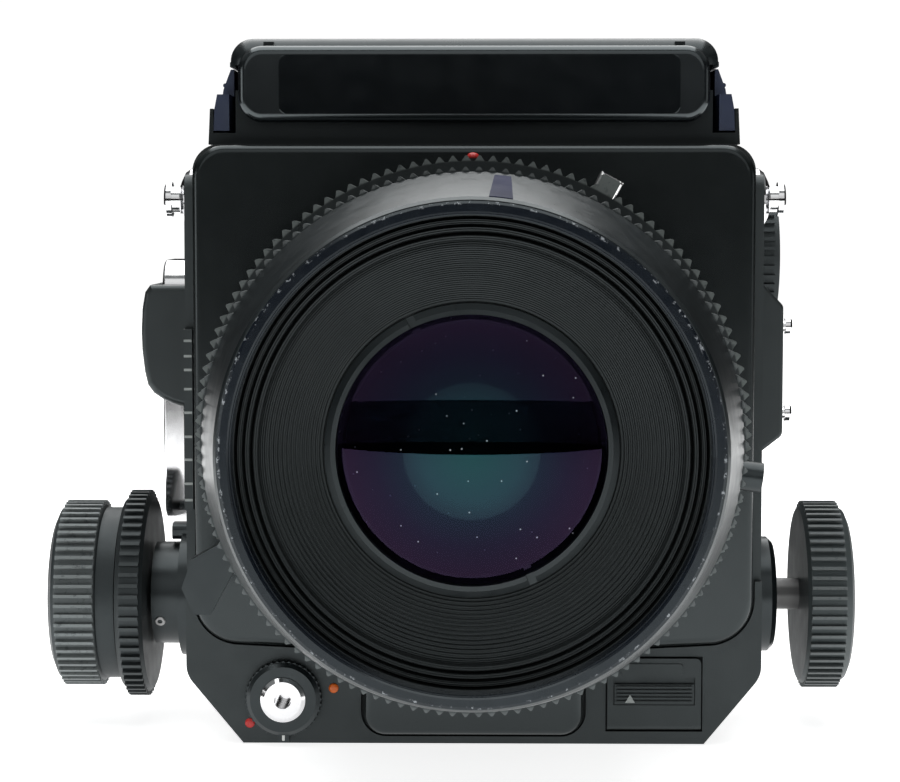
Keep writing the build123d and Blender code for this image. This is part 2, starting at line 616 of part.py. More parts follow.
def magnifier_arm():
    arm = block(-24.2, 24.2, LOUPE_Y - 0.5, 46.0, 120.4, 121.6)
    arm = fillet(arm.edges().filter_by(Axis.Z), 3.0)
    arm += block(-24.2, 24.2, LOUPE_Y - 0.9, LOUPE_Y + 0.9, 120.6, LOUPE_Z)
    arm += rod_x(0.9, -26.0, 26.0, LOUPE_Y, LOUPE_Z)
    return arm - rod_z(LOUPE_R + 0.02, 119, 123.6, 0, LOUPE_Y + 19)


def magnifier_lens():
    face = outline([(0, -1.9), (LOUPE_R, -0.6), (LOUPE_R, 0.6), (0, 1.9)])
    return Pos(0, LOUPE_Y + 19, 121.0) * revolve(Plane.XZ * face, Axis.Z, 360)


def hood_catch(side):
    face = outline([(44.6, 112.0), (47.1, 112.0), (47.1, 116.5), (46.6, 119.9), (45.6, 122.6), (45.2, 123.6),
                    (44.6, 123.6)])
    nose = outline([(44.6, 112.0), (47.5, 112.0), (47.3, 116.0), (46.8, 118.6), (44.6, 118.6)])
    catch = along_y(face, CATCH_FRONT, CATCH_BACK) + along_y(nose, CATCH_NOSE, CATCH_FRONT)
    for x, z in ((46.35, 120.7), (46.75, 118.4), (46.95, 116.1)):
        catch += rod_y(0.4, CATCH_FRONT + 0.8, CATCH_BACK - 0.8, x, z)
    return catch if side > 0 else mirrored(catch)


# ------------------------------------------------------------------ film back
def revolving_adapter():
    plate = along_y(plate_face(47.0, LENS_Z - 47, LENS_Z + 47, 7.0), BODY_REAR + 0.3, ADAPTER_BACK)
    plate += rod_y(SPIGOT_R, BODY_REAR - 2.8, BODY_REAR + 0.4)
    return plate - block(-36, 36, BODY_REAR - 4, ADAPTER_BACK + 1, LENS_Z - 29, LENS_Z + 29)


def magazine_shell():
    low, high = LENS_Z - BACK_HALF_Z, LENS_Z + BACK_HALF_Z
    shell = block(-BACK_HALF_X, BACK_HALF_X, ADAPTER_BACK, SHELL_BACK, low, high)
    shell = fillet(shell.edges().filter_by(Axis.Y), 5.0)
    shell -= block(-45, 45, 61.0, SHELL_BACK + 1, low + 2.5, high - 2.5)
    shell -= block(-34.75, 34.75, ADAPTER_BACK - 1, 62, LENS_Z - 28, LENS_Z + 28)
    shell -= block(-41, 50, 58.4, 59.6, LENS_Z - 34, LENS_Z + 34)
    shell -= rod_x(2.5 + RUN, -50, -44, WIND_Y, WIND_Z)
    crown = block(-22, 22, 61.5, 94.0, high - 1, high + 2.6)
    crown = fillet(crown.edges().filter_by(Axis.Z), 4.0)
    shell += chamfer(crown.edges().group_by(Axis.Z)[-1], 1.2)
    shell -= rod_z(4.0, high + 1.6, high + 3, 12.0, 78.0)
    for z0, z1 in ((20.0, 39.4), (78.0, 97.4)):
        knuckle = rod_z(1.9, z0, z1, DOOR_HINGE_X, DOOR_HINGE_Y)
        shell += knuckle + block(46.6, DOOR_HINGE_X, 94.0, 96.6, z0, z1)
    return shell + rod_z(0.9, 20.5, 97.0, DOOR_HINGE_X, DOOR_HINGE_Y)


def back_door():
    low, high = LENS_Z - BACK_HALF_Z, LENS_Z + BACK_HALF_Z
    door = block(-BACK_HALF_X, 46.8, SHELL_BACK + 0.2, DOOR_BACK, low, high)
    door = fillet(door.edges().filter_by(Axis.Y), 4.0)
    door = chamfer(door.edges().group_by(Axis.Y)[-1], 0.8)
    door -= block(-42, 42, SHELL_BACK - 1, DOOR_BACK - 2, low + 5, high - 5)
    door += block(44, DOOR_HINGE_X, 98.6, 100.0, 40.0, 77.4) + rod_z(1.9, 40.0, 77.4, DOOR_HINGE_X, DOOR_HINGE_Y)
    door -= rod_z(0.9 + RUN, 39, 78, DOOR_HINGE_X, DOOR_HINGE_Y)
    memo = block(-30, 30, DOOR_BACK, 104.5, 36, 82)
    memo -= block(-28.5, 28.5, 103.0, 103.8, 37.5, 83) + block(-26, 26, 103.0, 105, 40, 83)
    return door + memo


def door_latch():
    latch = block(-49.6, -47.7, 92.0, 101.6, LENS_Z - 9, LENS_Z + 9)
    return fillet(latch.edges().filter_by(Axis.X), 1.5)


def dark_slide():
    sheet = block(-40.5, 48.0, 58.6, 59.4, LENS_Z - 33.6, LENS_Z + 33.6)
    grip = block(47.9, 57.5, 58.0, 60.0, LENS_Z - 24, LENS_Z + 24)
    grip = fillet(grip.edges().filter_by(Axis.Y), 3.0)
    return sheet + (grip - block(50.6, 55.4, 57, 61, LENS_Z - 15, LENS_Z + 15))


def film_wind_knob():
    knob = toothed_x(36, 9.5, 9.0, -57.0, -48.4, WIND_Y, WIND_Z, 0.35)
    knob += rod_x(8.6, -58.0, -48.0, WIND_Y, WIND_Z)
    return knob + rod_x(2.5, -48.2, -43.0, WIND_Y, WIND_Z)


# ------------------------------------------------------------------ every node
NODES = {
    "body_shell": body_shell,
    "base_plate": base_plate,
    "tripod_bush": tripod_bush,
    "cover_screws": cover_screws,
    "front_lower_cover": front_lower_cover,
    "side_cover_left": lambda: side_cover(-1),
    "side_cover_right": lambda: side_cover(1),
    "strap_lugs": strap_lugs,
    "grip_mount": grip_mount,
    "grip_studs": grip_studs,
    "mirror_box": mirror_box,
    "focusing_screen": focusing_screen,
    "mirror_holder": mirror_holder,
    "mirror_glass": mirror_glass,
    "release_collar": release_collar,
    "shutter_button": shutter_button,
    "battery_holder": battery_holder,
    "battery_door": battery_door,
    "battery_latch": battery_latch,
    "cocking_arm": cocking_arm,
    "cocking_grip": cocking_grip,
    "shutter_speed_dial": shutter_speed_dial,
    "focus_lock_lever": focus_lock_lever,
    "focus_bearings": focus_bearings,
    "focus_shaft": focus_shaft,
    "focus_racks": focus_racks,
    "coarse_focus_ring": coarse_focus_ring,
    "fine_focus_knob": fine_focus_knob,
    "coarse_focus_knob": coarse_focus_knob,
    "standard_frame": standard_frame,
    "front_cover": front_cover,
    "bellows": bellows,
    "lens_lock_ring": lens_lock_ring,
    "rear_barrel": rear_barrel,
    "aperture_ring": aperture_ring,
    "front_barrel": front_barrel,
    "filter_ring": filter_ring,
    "lens_baffle": lens_baffle,
    "front_element": front_element,
    "retaining_ring": retaining_ring,
    "rear_elements": rear_elements,
    "shutter_housing": shutter_housing,
    "iris_blades": iris_blades,
    "preview_lever": preview_lever,
    "finder_base": finder_base,
    "finder_nameplate": finder_nameplate,
    "hood_lid": hood_lid,
    "hood_rear_panel": hood_rear_panel,
    "hood_side_panel_left": lambda: hood_side_panel(-1),
    "hood_side_panel_right": lambda: hood_side_panel(1),
    "magnifier_arm": magnifier_arm,
    "magnifier_lens": magnifier_lens,
    "hood_catch_left": lambda: hood_catch(-1),
    "hood_catch_right": lambda: hood_catch(1),
    "revolving_adapter": revolving_adapter,
    "magazine_shell": magazine_shell,
    "back_door": back_door,
    "dark_slide": dark_slide,
    "film_wind_knob": film_wind_knob,
    "door_latch": door_latch,
}

if __name__ == "__main__":
    os.makedirs("parts", exist_ok=True)
    for name, make in NODES.items():
        export_step(make(), f"parts/{name}.step")
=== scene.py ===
from math import asin, atan, cos, pi, radians, sin

import bmesh
import bpy
from mathutils import Matrix, Vector


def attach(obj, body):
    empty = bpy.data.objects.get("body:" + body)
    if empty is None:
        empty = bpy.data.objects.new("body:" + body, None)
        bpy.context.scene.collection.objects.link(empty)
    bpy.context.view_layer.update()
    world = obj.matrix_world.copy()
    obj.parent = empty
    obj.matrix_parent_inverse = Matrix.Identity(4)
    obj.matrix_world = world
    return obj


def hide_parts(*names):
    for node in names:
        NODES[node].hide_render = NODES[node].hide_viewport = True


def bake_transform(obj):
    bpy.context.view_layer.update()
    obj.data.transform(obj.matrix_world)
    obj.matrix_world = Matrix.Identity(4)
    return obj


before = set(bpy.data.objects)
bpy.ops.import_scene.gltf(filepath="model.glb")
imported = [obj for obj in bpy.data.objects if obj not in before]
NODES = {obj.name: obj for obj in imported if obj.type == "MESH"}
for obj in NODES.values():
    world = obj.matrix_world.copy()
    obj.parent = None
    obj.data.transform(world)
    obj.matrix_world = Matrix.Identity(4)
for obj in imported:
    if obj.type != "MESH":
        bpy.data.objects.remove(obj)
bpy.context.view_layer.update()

MM = 0.001
scene = bpy.context.scene
ROOM_DARK, ROOM_LIGHT = 0.012, 0.20
LENS_Z = 58.7
AXIS = (0, 0, LENS_Z * MM)
SHAFT = (0, -0.022, 0.0239)
FRONT, LEFT, RIGHT, UP, BACK = (0, -1, 0), (-1, 0, 0), (1, 0, 0), (0, 0, 1), (0, 1, 0)
COVER_FACE_Y = -47.5
RELEASE = (-34.7, -47.95, 8.5)
DIAL_Y, DIAL_Z = 16.0, 88.0
SCALE_R = 44.6
FLOOR_HALF, FLOOR_NEAR, FLOOR_FAR = 0.55, -0.62, 2.0
FLOOR_GLOW = 0.82
BACKDROP = 1.05


# ------------------------------------------------------------------ camera, floor and light
def look_at(obj, target):
    obj.rotation_euler = (Vector(target) - obj.location).to_track_quat("-Z", "Y").to_euler()


def add_camera():
    data = bpy.data.cameras.new("camera")
    data.sensor_width = 36.0
    data.lens = 98.0
    data.clip_start = 0.01
    data.clip_end = 50.0
    camera = bpy.data.objects.new("camera", data)
    camera.location = (0.00243, -0.491, 0.0974)
    camera.rotation_euler = (radians(90) - atan(180 / 2450), 0, atan(37 / 2450))
    scene.collection.objects.link(camera)
    scene.camera = camera


def area_light(name, where, target, width, height, power):
    data = bpy.data.lights.new(name, "AREA")
    data.shape = "RECTANGLE"
    data.size = width
    data.size_y = height
    data.energy = power
    light = bpy.data.objects.new(name, data)
    light.location = where
    scene.collection.objects.link(light)
    look_at(light, target)


def add_world():
    """A dim room with a bright ceiling towards the back; straight sight lines meet a white backdrop."""
    world = bpy.data.worlds.new("studio")
    scene.world = world
    world.use_nodes = True
    tree = world.node_tree
    tree.nodes.clear()
    coords = tree.nodes.new("ShaderNodeTexCoord")
    split = tree.nodes.new("ShaderNodeSeparateXYZ")
    tree.links.new(coords.outputs["Generated"], split.inputs[0])
    ramp = tree.nodes.new("ShaderNodeValToRGB")
    tree.links.new(split.outputs["Z"], ramp.inputs["Fac"])
    stops = ramp.color_ramp
    stops.elements[0].position = 0.34
    stops.elements[0].color = (ROOM_DARK, ROOM_DARK, ROOM_DARK, 1)
    stops.elements[1].position = 0.52
    stops.elements[1].color = (ROOM_LIGHT * 0.96, ROOM_LIGHT, ROOM_LIGHT, 1)
    room = tree.nodes.new("ShaderNodeBackground")
    tree.links.new(ramp.outputs["Color"], room.inputs["Color"])
    white = tree.nodes.new("ShaderNodeBackground")
    white.inputs["Color"].default_value = (1, 1, 1, 1)
    white.inputs["Strength"].default_value = BACKDROP
    path = tree.nodes.new("ShaderNodeLightPath")
    choose = tree.nodes.new("ShaderNodeMixShader")
    tree.links.new(path.outputs["Is Camera Ray"], choose.inputs[0])
    tree.links.new(room.outputs[0], choose.inputs[1])
    tree.links.new(white.outputs[0], choose.inputs[2])
    out = tree.nodes.new("ShaderNodeOutputWorld")
    tree.links.new(choose.outputs[0], out.inputs["Surface"])


def add_studio():
    add_camera()
    add_world()
    area_light("ceiling_softbox", (-0.05, 0.75, 1.0), (-0.05, 0.75, 0), 1.1, 2.6, 22)
    area_light("front_softbox", (0.0, -1.6, 0.95), (0, -0.1, 0.95), 2.2, 1.3, 6.0)
    area_light("left_card", (-0.80, -0.35, 0.12), (-0.05, -0.02, 0.05), 0.35, 0.25, 0.5)
    area_light("right_card", (0.80, -0.20, 0.12), (0.05, -0.02, 0.05), 0.35, 0.25, 0.15)
    bm = bmesh.new()
    bmesh.ops.create_grid(bm, x_segments=1, y_segments=1, size=FLOOR_HALF)
    for v in bm.verts:
        v.co.y = FLOOR_FAR if v.co.y > 0 else FLOOR_NEAR
    mesh = bpy.data.meshes.new("floor")
    bm.to_mesh(mesh)
    bm.free()
    floor = bpy.data.objects.new("floor", mesh)
    floor.location.z = -0.0002
    scene.collection.objects.link(floor)
    paint = bpy.data.materials.new("floor_paper")
    paint.use_nodes = True
    shader = paint.node_tree.nodes["Principled BSDF"]
    shader.inputs["Base Color"].default_value = (0.93, 0.93, 0.93, 1)
    shader.inputs["Roughness"].default_value = 0.6
    shader.inputs["Specular IOR Level"].default_value = 0.2
    shader.inputs["Emission Color"].default_value = (1, 1, 1, 1)
    shader.inputs["Emission Strength"].default_value = FLOOR_GLOW
    mesh.materials.append(paint)
    scene.view_settings.view_transform = "Standard"


add_studio()


# ------------------------------------------------------------------ materials
class Shade:
    """A small helper around one material's node tree."""

    def __init__(self, name):
        self.material = bpy.data.materials.new(name)
        self.material.use_nodes = True
        self.tree = self.material.node_tree
        self.shader = self.tree.nodes["Principled BSDF"]

    def node(self, kind, **values):
        made = self.tree.nodes.new(kind)
        for key, value in values.items():
            setattr(made, key, value)
        return made

    def link(self, a, b):
        self.tree.links.new(a, b)

    def value(self, socket, number):
        self.shader.inputs[socket].default_value = number

    def coords(self):
        return self.node("ShaderNodeTexCoord").outputs["Object"]

    def noise(self, scale, detail=3.0, rough=0.5):
        tex = self.node("ShaderNodeTexNoise")
        self.link(self.coords(), tex.inputs["Vector"])
        tex.inputs["Scale"].default_value = scale
        tex.inputs["Detail"].default_value = detail
        tex.inputs["Roughness"].default_value = rough
        return tex.outputs["Fac"]

    def ramp(self, fac, stops):
        ramp = self.node("ShaderNodeValToRGB")
        self.link(fac, ramp.inputs["Fac"])
        elements = ramp.color_ramp.elements
        while len(elements) < len(stops):
            elements.new(0.5)
        for element, (place, colour) in zip(elements, stops):
            element.position = place
            element.color = (*colour, 1)
        return ramp.outputs["Color"]

    def span(self, fac, low, high, to_low, to_high):
        made = self.node("ShaderNodeMapRange")
        self.link(fac, made.inputs["Value"])
        ends = {"From Min": low, "From Max": high, "To Min": to_low, "To Max": to_high}
        for socket, number in ends.items():
            made.inputs[socket].default_value = number
        return made.outputs["Result"]

    def mix(self, fac, a, b):
        made = self.node("ShaderNodeMix", data_type="RGBA")
        self.link(fac, made.inputs[0])
        for socket, colour in ((6, a), (7, b)):
            if isinstance(colour, tuple):
                made.inputs[socket].default_value = (*colour, 1)
            else:
                self.link(colour, made.inputs[socket])
        return made.outputs[2]

    def math(self, operation, a, b=None):
        made = self.node("ShaderNodeMath", operation=operation)
        for n, value in enumerate((a, b)):
            if value is None:
                continue
            if isinstance(value, (int, float)):
                made.inputs[n].default_value = value
            else:
                self.link(value, made.inputs[n])
        return made.outputs[0]

    def radius(self, axis, centre):
        """Distance in metres from a line through centre along axis, for turned parts."""
        split = self.node("ShaderNodeSeparateXYZ")
        self.link(self.coords(), split.inputs[0])
        squares = []
        for n in range(3):
            if n != axis:
                away = self.math("SUBTRACT", split.outputs[n], centre[n])
                squares.append(self.math("MULTIPLY", away, away))
        return self.math("SQRT", self.math("ADD", *squares))

    def axis(self, n):
        """One coordinate, in metres."""
        split = self.node("ShaderNodeSeparateXYZ")
        self.link(self.coords(), split.inputs[0])
        return split.outputs[n]

    def base(self):
        """What feeds the base colour now."""
        return self.shader.inputs["Base Color"].links[0].from_socket

    def wear_and_highlight(self, mask, colour, amount=0.5, grain=900.0, low=0.45, high=0.62):
        """Lighten the finish towards colour where mask is 1, in broken patches: rubbed wear on the filter
        rim, and on rib and tooth crests partly wear and partly a painted highlight.
        """
        scuffs_and_glints = self.span(self.noise(grain, 4.0, rough=0.7), low, high, 0.0, 1.0)
        part = self.math("MULTIPLY", self.math("MULTIPLY", mask, scuffs_and_glints), amount)
        self.link(self.mix(part, self.base(), colour), self.shader.inputs["Base Color"])

    def bump(self, height, strength, distance):
        made = self.node("ShaderNodeBump")
        made.inputs["Strength"].default_value = strength
        made.inputs["Distance"].default_value = distance
        self.link(height, made.inputs["Height"])
        self.link(made.outputs[0], self.shader.inputs["Normal"])


def coated(name, colour, rough, grain, bump, depth, specular, metal=0.0, spread=0.06, drift=0.25):
    """Paint, anodising or moulded plastic: a fine grain, cloudy roughness and slight colour drift."""
    s = Shade(name)
    clouds = s.noise(55.0, 4.0)
    dark = tuple(c * (1 - drift) for c in colour)
    light = tuple(c * (1 + drift) for c in colour)
    s.link(s.ramp(clouds, [(0.3, dark), (0.7, light)]), s.shader.inputs["Base Color"])
    fine = s.noise(grain, 2.0)
    patchy = s.noise(260.0, 3.0)
    mixed = s.math("ADD", s.math("MULTIPLY", patchy, 0.7), s.math("MULTIPLY", fine, 0.3))
    s.link(s.span(mixed, 0.3, 0.7, rough - spread, rough + spread), s.shader.inputs["Roughness"])
    s.bump(fine, bump, depth)
    s.value("Specular IOR Level", specular)
    s.value("Metallic", metal)
    if not metal:
        s.value("Specular Tint", (0.86, 0.97, 1.0, 1))
    return s


def lens_glass(name, body, tint, level):
    """Coated optical glass: clear, with a faint coloured reflection."""
    s = coated(name, body, 0.012, 800, 0.0, 0.00001, level, 0.0, 0.001, 0.01)
    s.value("Transmission Weight", 1.0)
    s.value("IOR", 1.6)
    s.value("Specular Tint", (*tint, 1))
    return s


def ribbed_tips(s, axis, centre, root, tip, colour, amount):
    """Lighter crests on a ring of ribs or teeth: partly rubbed wear, partly a painted highlight where light
    catches them.
    """
    crest = s.span(s.radius(axis, centre), root, tip, 0.0, 1.0)
    s.wear_and_highlight(crest, colour, amount, 700.0, 0.25, 0.45)
    return s


def add_materials():
    m = {}
    m["lacquer"] = coated("front_lacquer", (0.0030, 0.0042, 0.0042), 0.23,
                          5200, 0.12, 0.00002, 0.6, spread=0.015)
    m["lid"] = coated("lid_paint", (0.007, 0.009, 0.010), 0.30, 2600, 0.30, 0.00003, 0.5)
    m["finder"] = coated("finder_paint", (0.0035, 0.0045, 0.005), 0.44, 2600, 0.30, 0.00003, 0.35)
    m["shell"] = coated("shell_paint", (0.018, 0.019, 0.019), 0.55, 2300, 0.5, 0.00006, 0.4)
    m["plastic"] = coated("moulded_plastic", (0.011, 0.013, 0.013), 0.46, 3200, 0.35, 0.00004, 0.6)
    m["grip"] = coated("satin_grip", (0.012, 0.014, 0.014), 0.38, 4200, 0.2, 0.00002, 0.6)
    m["gloss"] = coated("gloss_plate", (0.004, 0.005, 0.006), 0.14, 5200, 0.05, 0.00001, 0.6, spread=0.03)
    m["nameplate"] = coated("nameplate_gloss", (0.004, 0.005, 0.006), 0.20,
                            5200, 0.05, 0.00001, 1.0, spread=0.02)
    m["navy"] = coated("navy_plastic", (0.016, 0.022, 0.060), 0.34, 3600, 0.15, 0.00002, 0.8)
    m["rubber"] = coated("ribbed_rubber", (0.026, 0.030, 0.031), 0.50, 3000, 0.4, 0.00004, 0.5)
    # The lighter rib crests on the knobs and the coarse focus ring are partly wear and partly a painted
    # highlight.
    knobs = coated("knob_rubber", (0.040, 0.048, 0.049), 0.48, 3000, 0.4, 0.00004, 0.5)
    m["knob"] = ribbed_tips(knobs, 0, SHAFT, 0.0172, 0.0180, (0.16, 0.17, 0.17), 0.55)
    pale = coated("worn_highlit_knob_rubber", (0.014, 0.017, 0.018), 0.46, 3000, 0.4, 0.00004, 0.5)
    m["pale_knob"] = ribbed_tips(pale, 0, SHAFT, 0.0166, 0.0174, (0.21, 0.23, 0.23), 0.75)
    dark_knob = coated("dark_knob_rubber", (0.016, 0.019, 0.020), 0.46, 3000, 0.4, 0.00004, 0.5)
    m["dark_knob"] = ribbed_tips(dark_knob, 0, SHAFT, 0.0195, 0.0201, (0.10, 0.11, 0.11), 0.4)
    m["anodised"] = coated("black_anodised", (0.006, 0.008, 0.009), 0.32, 6000, 0.15, 0.00002, 0.6)
    m["barrel"] = coated("barrel_anodised", (0.005, 0.007, 0.008), 0.33, 6000, 0.15, 0.00002, 0.75)
    # The lighter tooth tips on the lock and aperture rings are partly worn paint and partly a painted
    # highlight.
    lock = coated("lock_ring_anodised", (0.010, 0.012, 0.012), 0.32, 6000, 0.15, 0.00002, 0.6)
    m["lock"] = ribbed_tips(lock, 1, AXIS, 0.0472, 0.0475, (0.13, 0.145, 0.14), 0.95)
    stops = coated("aperture_ring_anodised", (0.010, 0.012, 0.012), 0.32, 6000, 0.15, 0.00002, 0.6)
    m["stops"] = ribbed_tips(stops, 1, AXIS, 0.0452, 0.0456, (0.12, 0.13, 0.13), 0.9)
    rim = coated("rim_anodised", (0.004, 0.006, 0.010), 0.24, 5200, 0.10, 0.00001, 0.4)
    across = rim.radius(1, AXIS)
    rim.wear_and_highlight(rim.span(across, 0.0397, 0.0399, 0.0, 1.0), (0.30, 0.32, 0.34), 0.9, 900.0, 0.56, 0.64)
    pitch = 0.00075
    waves = rim.math("SINE", rim.math("MULTIPLY", rim.axis(1), 2 * pi / pitch))
    threads = rim.math("MULTIPLY", waves, rim.span(across, 0.0381, 0.0384, 1.0, 0.0))
    rim.bump(threads, 0.8, 0.0002)
    m["rim"] = rim
    matt = coated("matt_baffle", (0.005, 0.006, 0.006), 0.52, 4200, 0.3, 0.00003, 0.45)
    spacing = 0.00034
    rings = matt.math("SINE", matt.math("MULTIPLY", matt.radius(1, AXIS), 2 * pi / spacing))
    matt.bump(rings, 0.6, 0.00006)
    m["matt"] = matt
    m["chrome"] = coated("bright_chrome", (0.82, 0.82, 0.83), 0.10, 5200, 0.04, 0.00001, 0.5, 1.0, 0.04, 0.03)
    m["alloy"] = coated("satin_alloy", (0.80, 0.80, 0.80), 0.24, 5200, 0.06, 0.00001, 0.5, 1.0, 0.05, 0.04)
    m["steel"] = coated("turned_steel", (0.36, 0.36, 0.36), 0.34, 5200, 0.1, 0.00001, 0.5, 1.0, 0.08, 0.1)
    m["shaft"] = coated("oiled_steel", (0.14, 0.14, 0.14), 0.38, 5200, 0.1, 0.00001, 0.5, 1.0, 0.08, 0.1)
    m["black_blades"] = coated("black_blades", (0.006, 0.006, 0.006), 0.5, 5200, 0.1, 0.00001, 0.3)
    m["flock"] = coated("light_trap_black", (0.004, 0.004, 0.004), 0.8, 3600, 0.5, 0.00004, 0.15)
    m["cloth"] = coated("bellows_cloth", (0.012, 0.012, 0.012), 0.72, 3400, 0.6, 0.00006, 0.3)
    leather = coated("pebbled_leatherette", (0.014, 0.014, 0.014), 0.58, 3000, 0.2, 0.00002, 0.4)
    cells = leather.node("ShaderNodeTexVoronoi", feature="SMOOTH_F1")
    leather.link(leather.coords(), cells.inputs["Vector"])
    cells.inputs["Scale"].default_value = 820.0
    leather.bump(leather.math("SUBTRACT", 1.0, cells.outputs["Distance"]), 0.9, 0.00035)
    m["leather"] = leather
    screen = coated("ground_screen", (0.55, 0.57, 0.58), 0.5, 5200, 0.3, 0.00002, 0.5)
    ruled = []
    for n in (0, 1):
        wave = screen.math("PINGPONG", screen.math("ADD", screen.axis(n), 0.5), 0.006)
        ruled.append(screen.math("LESS_THAN", wave, 0.00012))
    lines = screen.mix(screen.math("MAXIMUM", *ruled), screen.base(), (0.05, 0.05, 0.05))
    screen.link(lines, screen.shader.inputs["Base Color"])
    m["screen"] = screen
    m["mirror"] = coated("front_silvered", (0.85, 0.86, 0.87), 0.04, 400, 0.0, 0.00001, 0.5, 1.0, 0.01, 0.01)
    # The front glass is tinted almost black: painted shade standing in for the dark inside of the camera seen
    # through it.
    front = lens_glass("coated_glass_violet", (0.06, 0.06, 0.075), (0.62, 0.42, 1.0), 0.075)
    # The reflection tint runs from teal at the middle to violet at the rim. It is the coating's own colour,
    # but its spread across the glass is a painted reflection of the inner elements.
    reflection_tints = [(0.0, (0.22, 0.80, 0.85)), (0.36, (0.26, 0.62, 0.80)), (0.488, (0.24, 0.42, 0.62)),
             (0.498, (0.16, 0.24, 0.42)), (0.70, (0.19, 0.16, 0.36)), (0.90, (0.24, 0.14, 0.34)),
             (1.0, (0.30, 0.27, 0.52))]
    outward = front.span(front.radius(1, AXIS), 0.0, 0.0225, 0.0, 1.0)
    front.link(front.ramp(outward, reflection_tints), front.shader.inputs["Specular Tint"])
    dust = front.node("ShaderNodeTexVoronoi")
    front.link(front.coords(), dust.inputs["Vector"])
    dust.inputs["Scale"].default_value = 420.0
    speck = front.math("LESS_THAN", dust.outputs["Distance"], 0.055)
    front.link(front.mix(speck, front.base(), (0.35, 0.37, 0.40)), front.shader.inputs["Base Color"])
    front.link(front.math("SUBTRACT", 1.0, speck), front.shader.inputs["Transmission Weight"])
    m["glass"] = front
    m["glass_teal"] = lens_glass("coated_glass_teal", (0.6, 0.62, 0.62), (0.20, 0.90, 1.0), 0.5)
    m["glass_clear"] = lens_glass("clear_glass", (0.96, 0.97, 1.0), (0.8, 0.85, 1.0), 0.4)
    m["index"] = coated("index_navy", (0.006, 0.008, 0.045), 0.55, 3000, 0.1, 0.00001, 0.12)
    m["white_ink"] = coated("white_ink", (0.72, 0.73, 0.71), 0.45, 3000, 0.1, 0.00001, 0.4, drift=0.05)
    m["grey_ink"] = coated("grey_ink", (0.30, 0.32, 0.31), 0.45, 3000, 0.1, 0.00001, 0.4, drift=0.08)
    m["red"] = coated("red_enamel", (0.50, 0.020, 0.016), 0.30, 1800, 0.1, 0.00001, 0.5, drift=0.1)
    m["orange"] = coated("orange_enamel", (0.70, 0.130, 0.010), 0.30, 1800, 0.1, 0.00001, 0.5, drift=0.1)
    m["paper"] = coated("memo_card_paper", (0.78, 0.76, 0.70), 0.8, 2200, 0.3, 0.00003, 0.3, drift=0.03)
    return {key: s.material for key, s in m.items()}


MATERIALS = add_materials()
LOOKS = {
    "lacquer": ("front_cover",),
    "lid": ("hood_lid",),
    "finder": ("finder_base",),
    "shell": ("body_shell", "base_plate", "magazine_shell", "revolving_adapter", "back_door"),
    "plastic": ("front_lower_cover", "side_cover_left", "side_cover_right", "battery_holder", "battery_door",
                "battery_latch"),
    "grip": ("cocking_grip", "grip_mount"),
    "nameplate": ("finder_nameplate",),
    "navy": ("hood_catch_left", "hood_catch_right"),
    "rubber": ("film_wind_knob", "shutter_speed_dial"),
    "knob": ("coarse_focus_knob",),
    "pale_knob": ("fine_focus_knob",),
    "dark_knob": ("coarse_focus_ring",),
    "anodised": ("release_collar", "focus_lock_lever", "focus_bearings", "rear_barrel", "retaining_ring",
                 "preview_lever", "hood_rear_panel", "hood_side_panel_left", "hood_side_panel_right",
                 "magnifier_arm"),
    "barrel": ("front_barrel",),
    "lock": ("lens_lock_ring",),
    "stops": ("aperture_ring",),
    "rim": ("filter_ring",),
    "matt": ("lens_baffle",),
    "flock": ("mirror_box", "standard_frame", "shutter_housing"),
    "chrome": ("strap_lugs", "grip_studs", "shutter_button", "cocking_arm"),
    "black_blades": ("iris_blades", "mirror_holder"),
    "alloy": ("door_latch",),
    "steel": ("tripod_bush", "cover_screws", "focus_racks", "dark_slide"),
    "shaft": ("focus_shaft",),
    "screen": ("focusing_screen",),
    "mirror": ("mirror_glass",),
    "glass": ("front_element",),
    "glass_teal": ("rear_elements",),
    "glass_clear": ("magnifier_lens",),
    "cloth": ("bellows",),
}
for look, names in LOOKS.items():
    for name in names:
        slots = NODES[name].data.materials
        slots.clear()
        slots.append(MATERIALS[look])


# ------------------------------------------------------------------ mesh helpers, in millimetres
def keep(bm, name, body, look, smooth=False):
    """Turn a bmesh drawn in millimetres into a piece that rides on a body."""
    for v in bm.verts:
        v.co *= MM
    bmesh.ops.recalc_face_normals(bm, faces=bm.faces)
    mesh = bpy.data.meshes.new(name)
    bm.to_mesh(mesh)
    bm.free()
    for face in mesh.polygons:
        face.use_smooth = smooth
    piece = bpy.data.objects.new(name, mesh)
    scene.collection.objects.link(piece)
    mesh.materials.append(MATERIALS[look])
    if body:
        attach(piece, body)
    return piece


def facing(direction, spin=0.0):
    """A turn that takes +Z to direction, and +Y as near to +Z (or to +Y on level faces) as it can."""
    z = Vector(direction).normalized()
    up = Vector((0, 0, 1)) if abs(z.z) < 0.9 else Vector((0, 1, 0))
    x = up.cross(z).normalized()
    turn = Matrix((x, z.cross(x), z)).transposed().to_4x4()
    return turn @ Matrix.Rotation(spin, 4, "Z")


def place(centre, direction, spin=0.0):
    return Matrix.Translation(centre) @ facing(direction, spin)


def add_slab(bm, points, low, high, where, bevel=0.0):
    """A flat prism: an outline in the plane's own x and y, from low to high above it."""
    lower = [bm.verts.new(where @ Vector((x, y, low))) for x, y in points]
    upper = [bm.verts.new(where @ Vector((x, y, high))) for x, y in points]
    bm.faces.new(list(reversed(lower)))
    top = bm.faces.new(upper)
    for n in range(len(points)):
        k = (n + 1) % len(points)
        bm.faces.new((lower[n], lower[k], upper[k], upper[n]))
    if bevel:
        bmesh.ops.bevel(bm, geom=list(top.edges), offset=bevel, segments=2, profile=0.6, affect="EDGES")


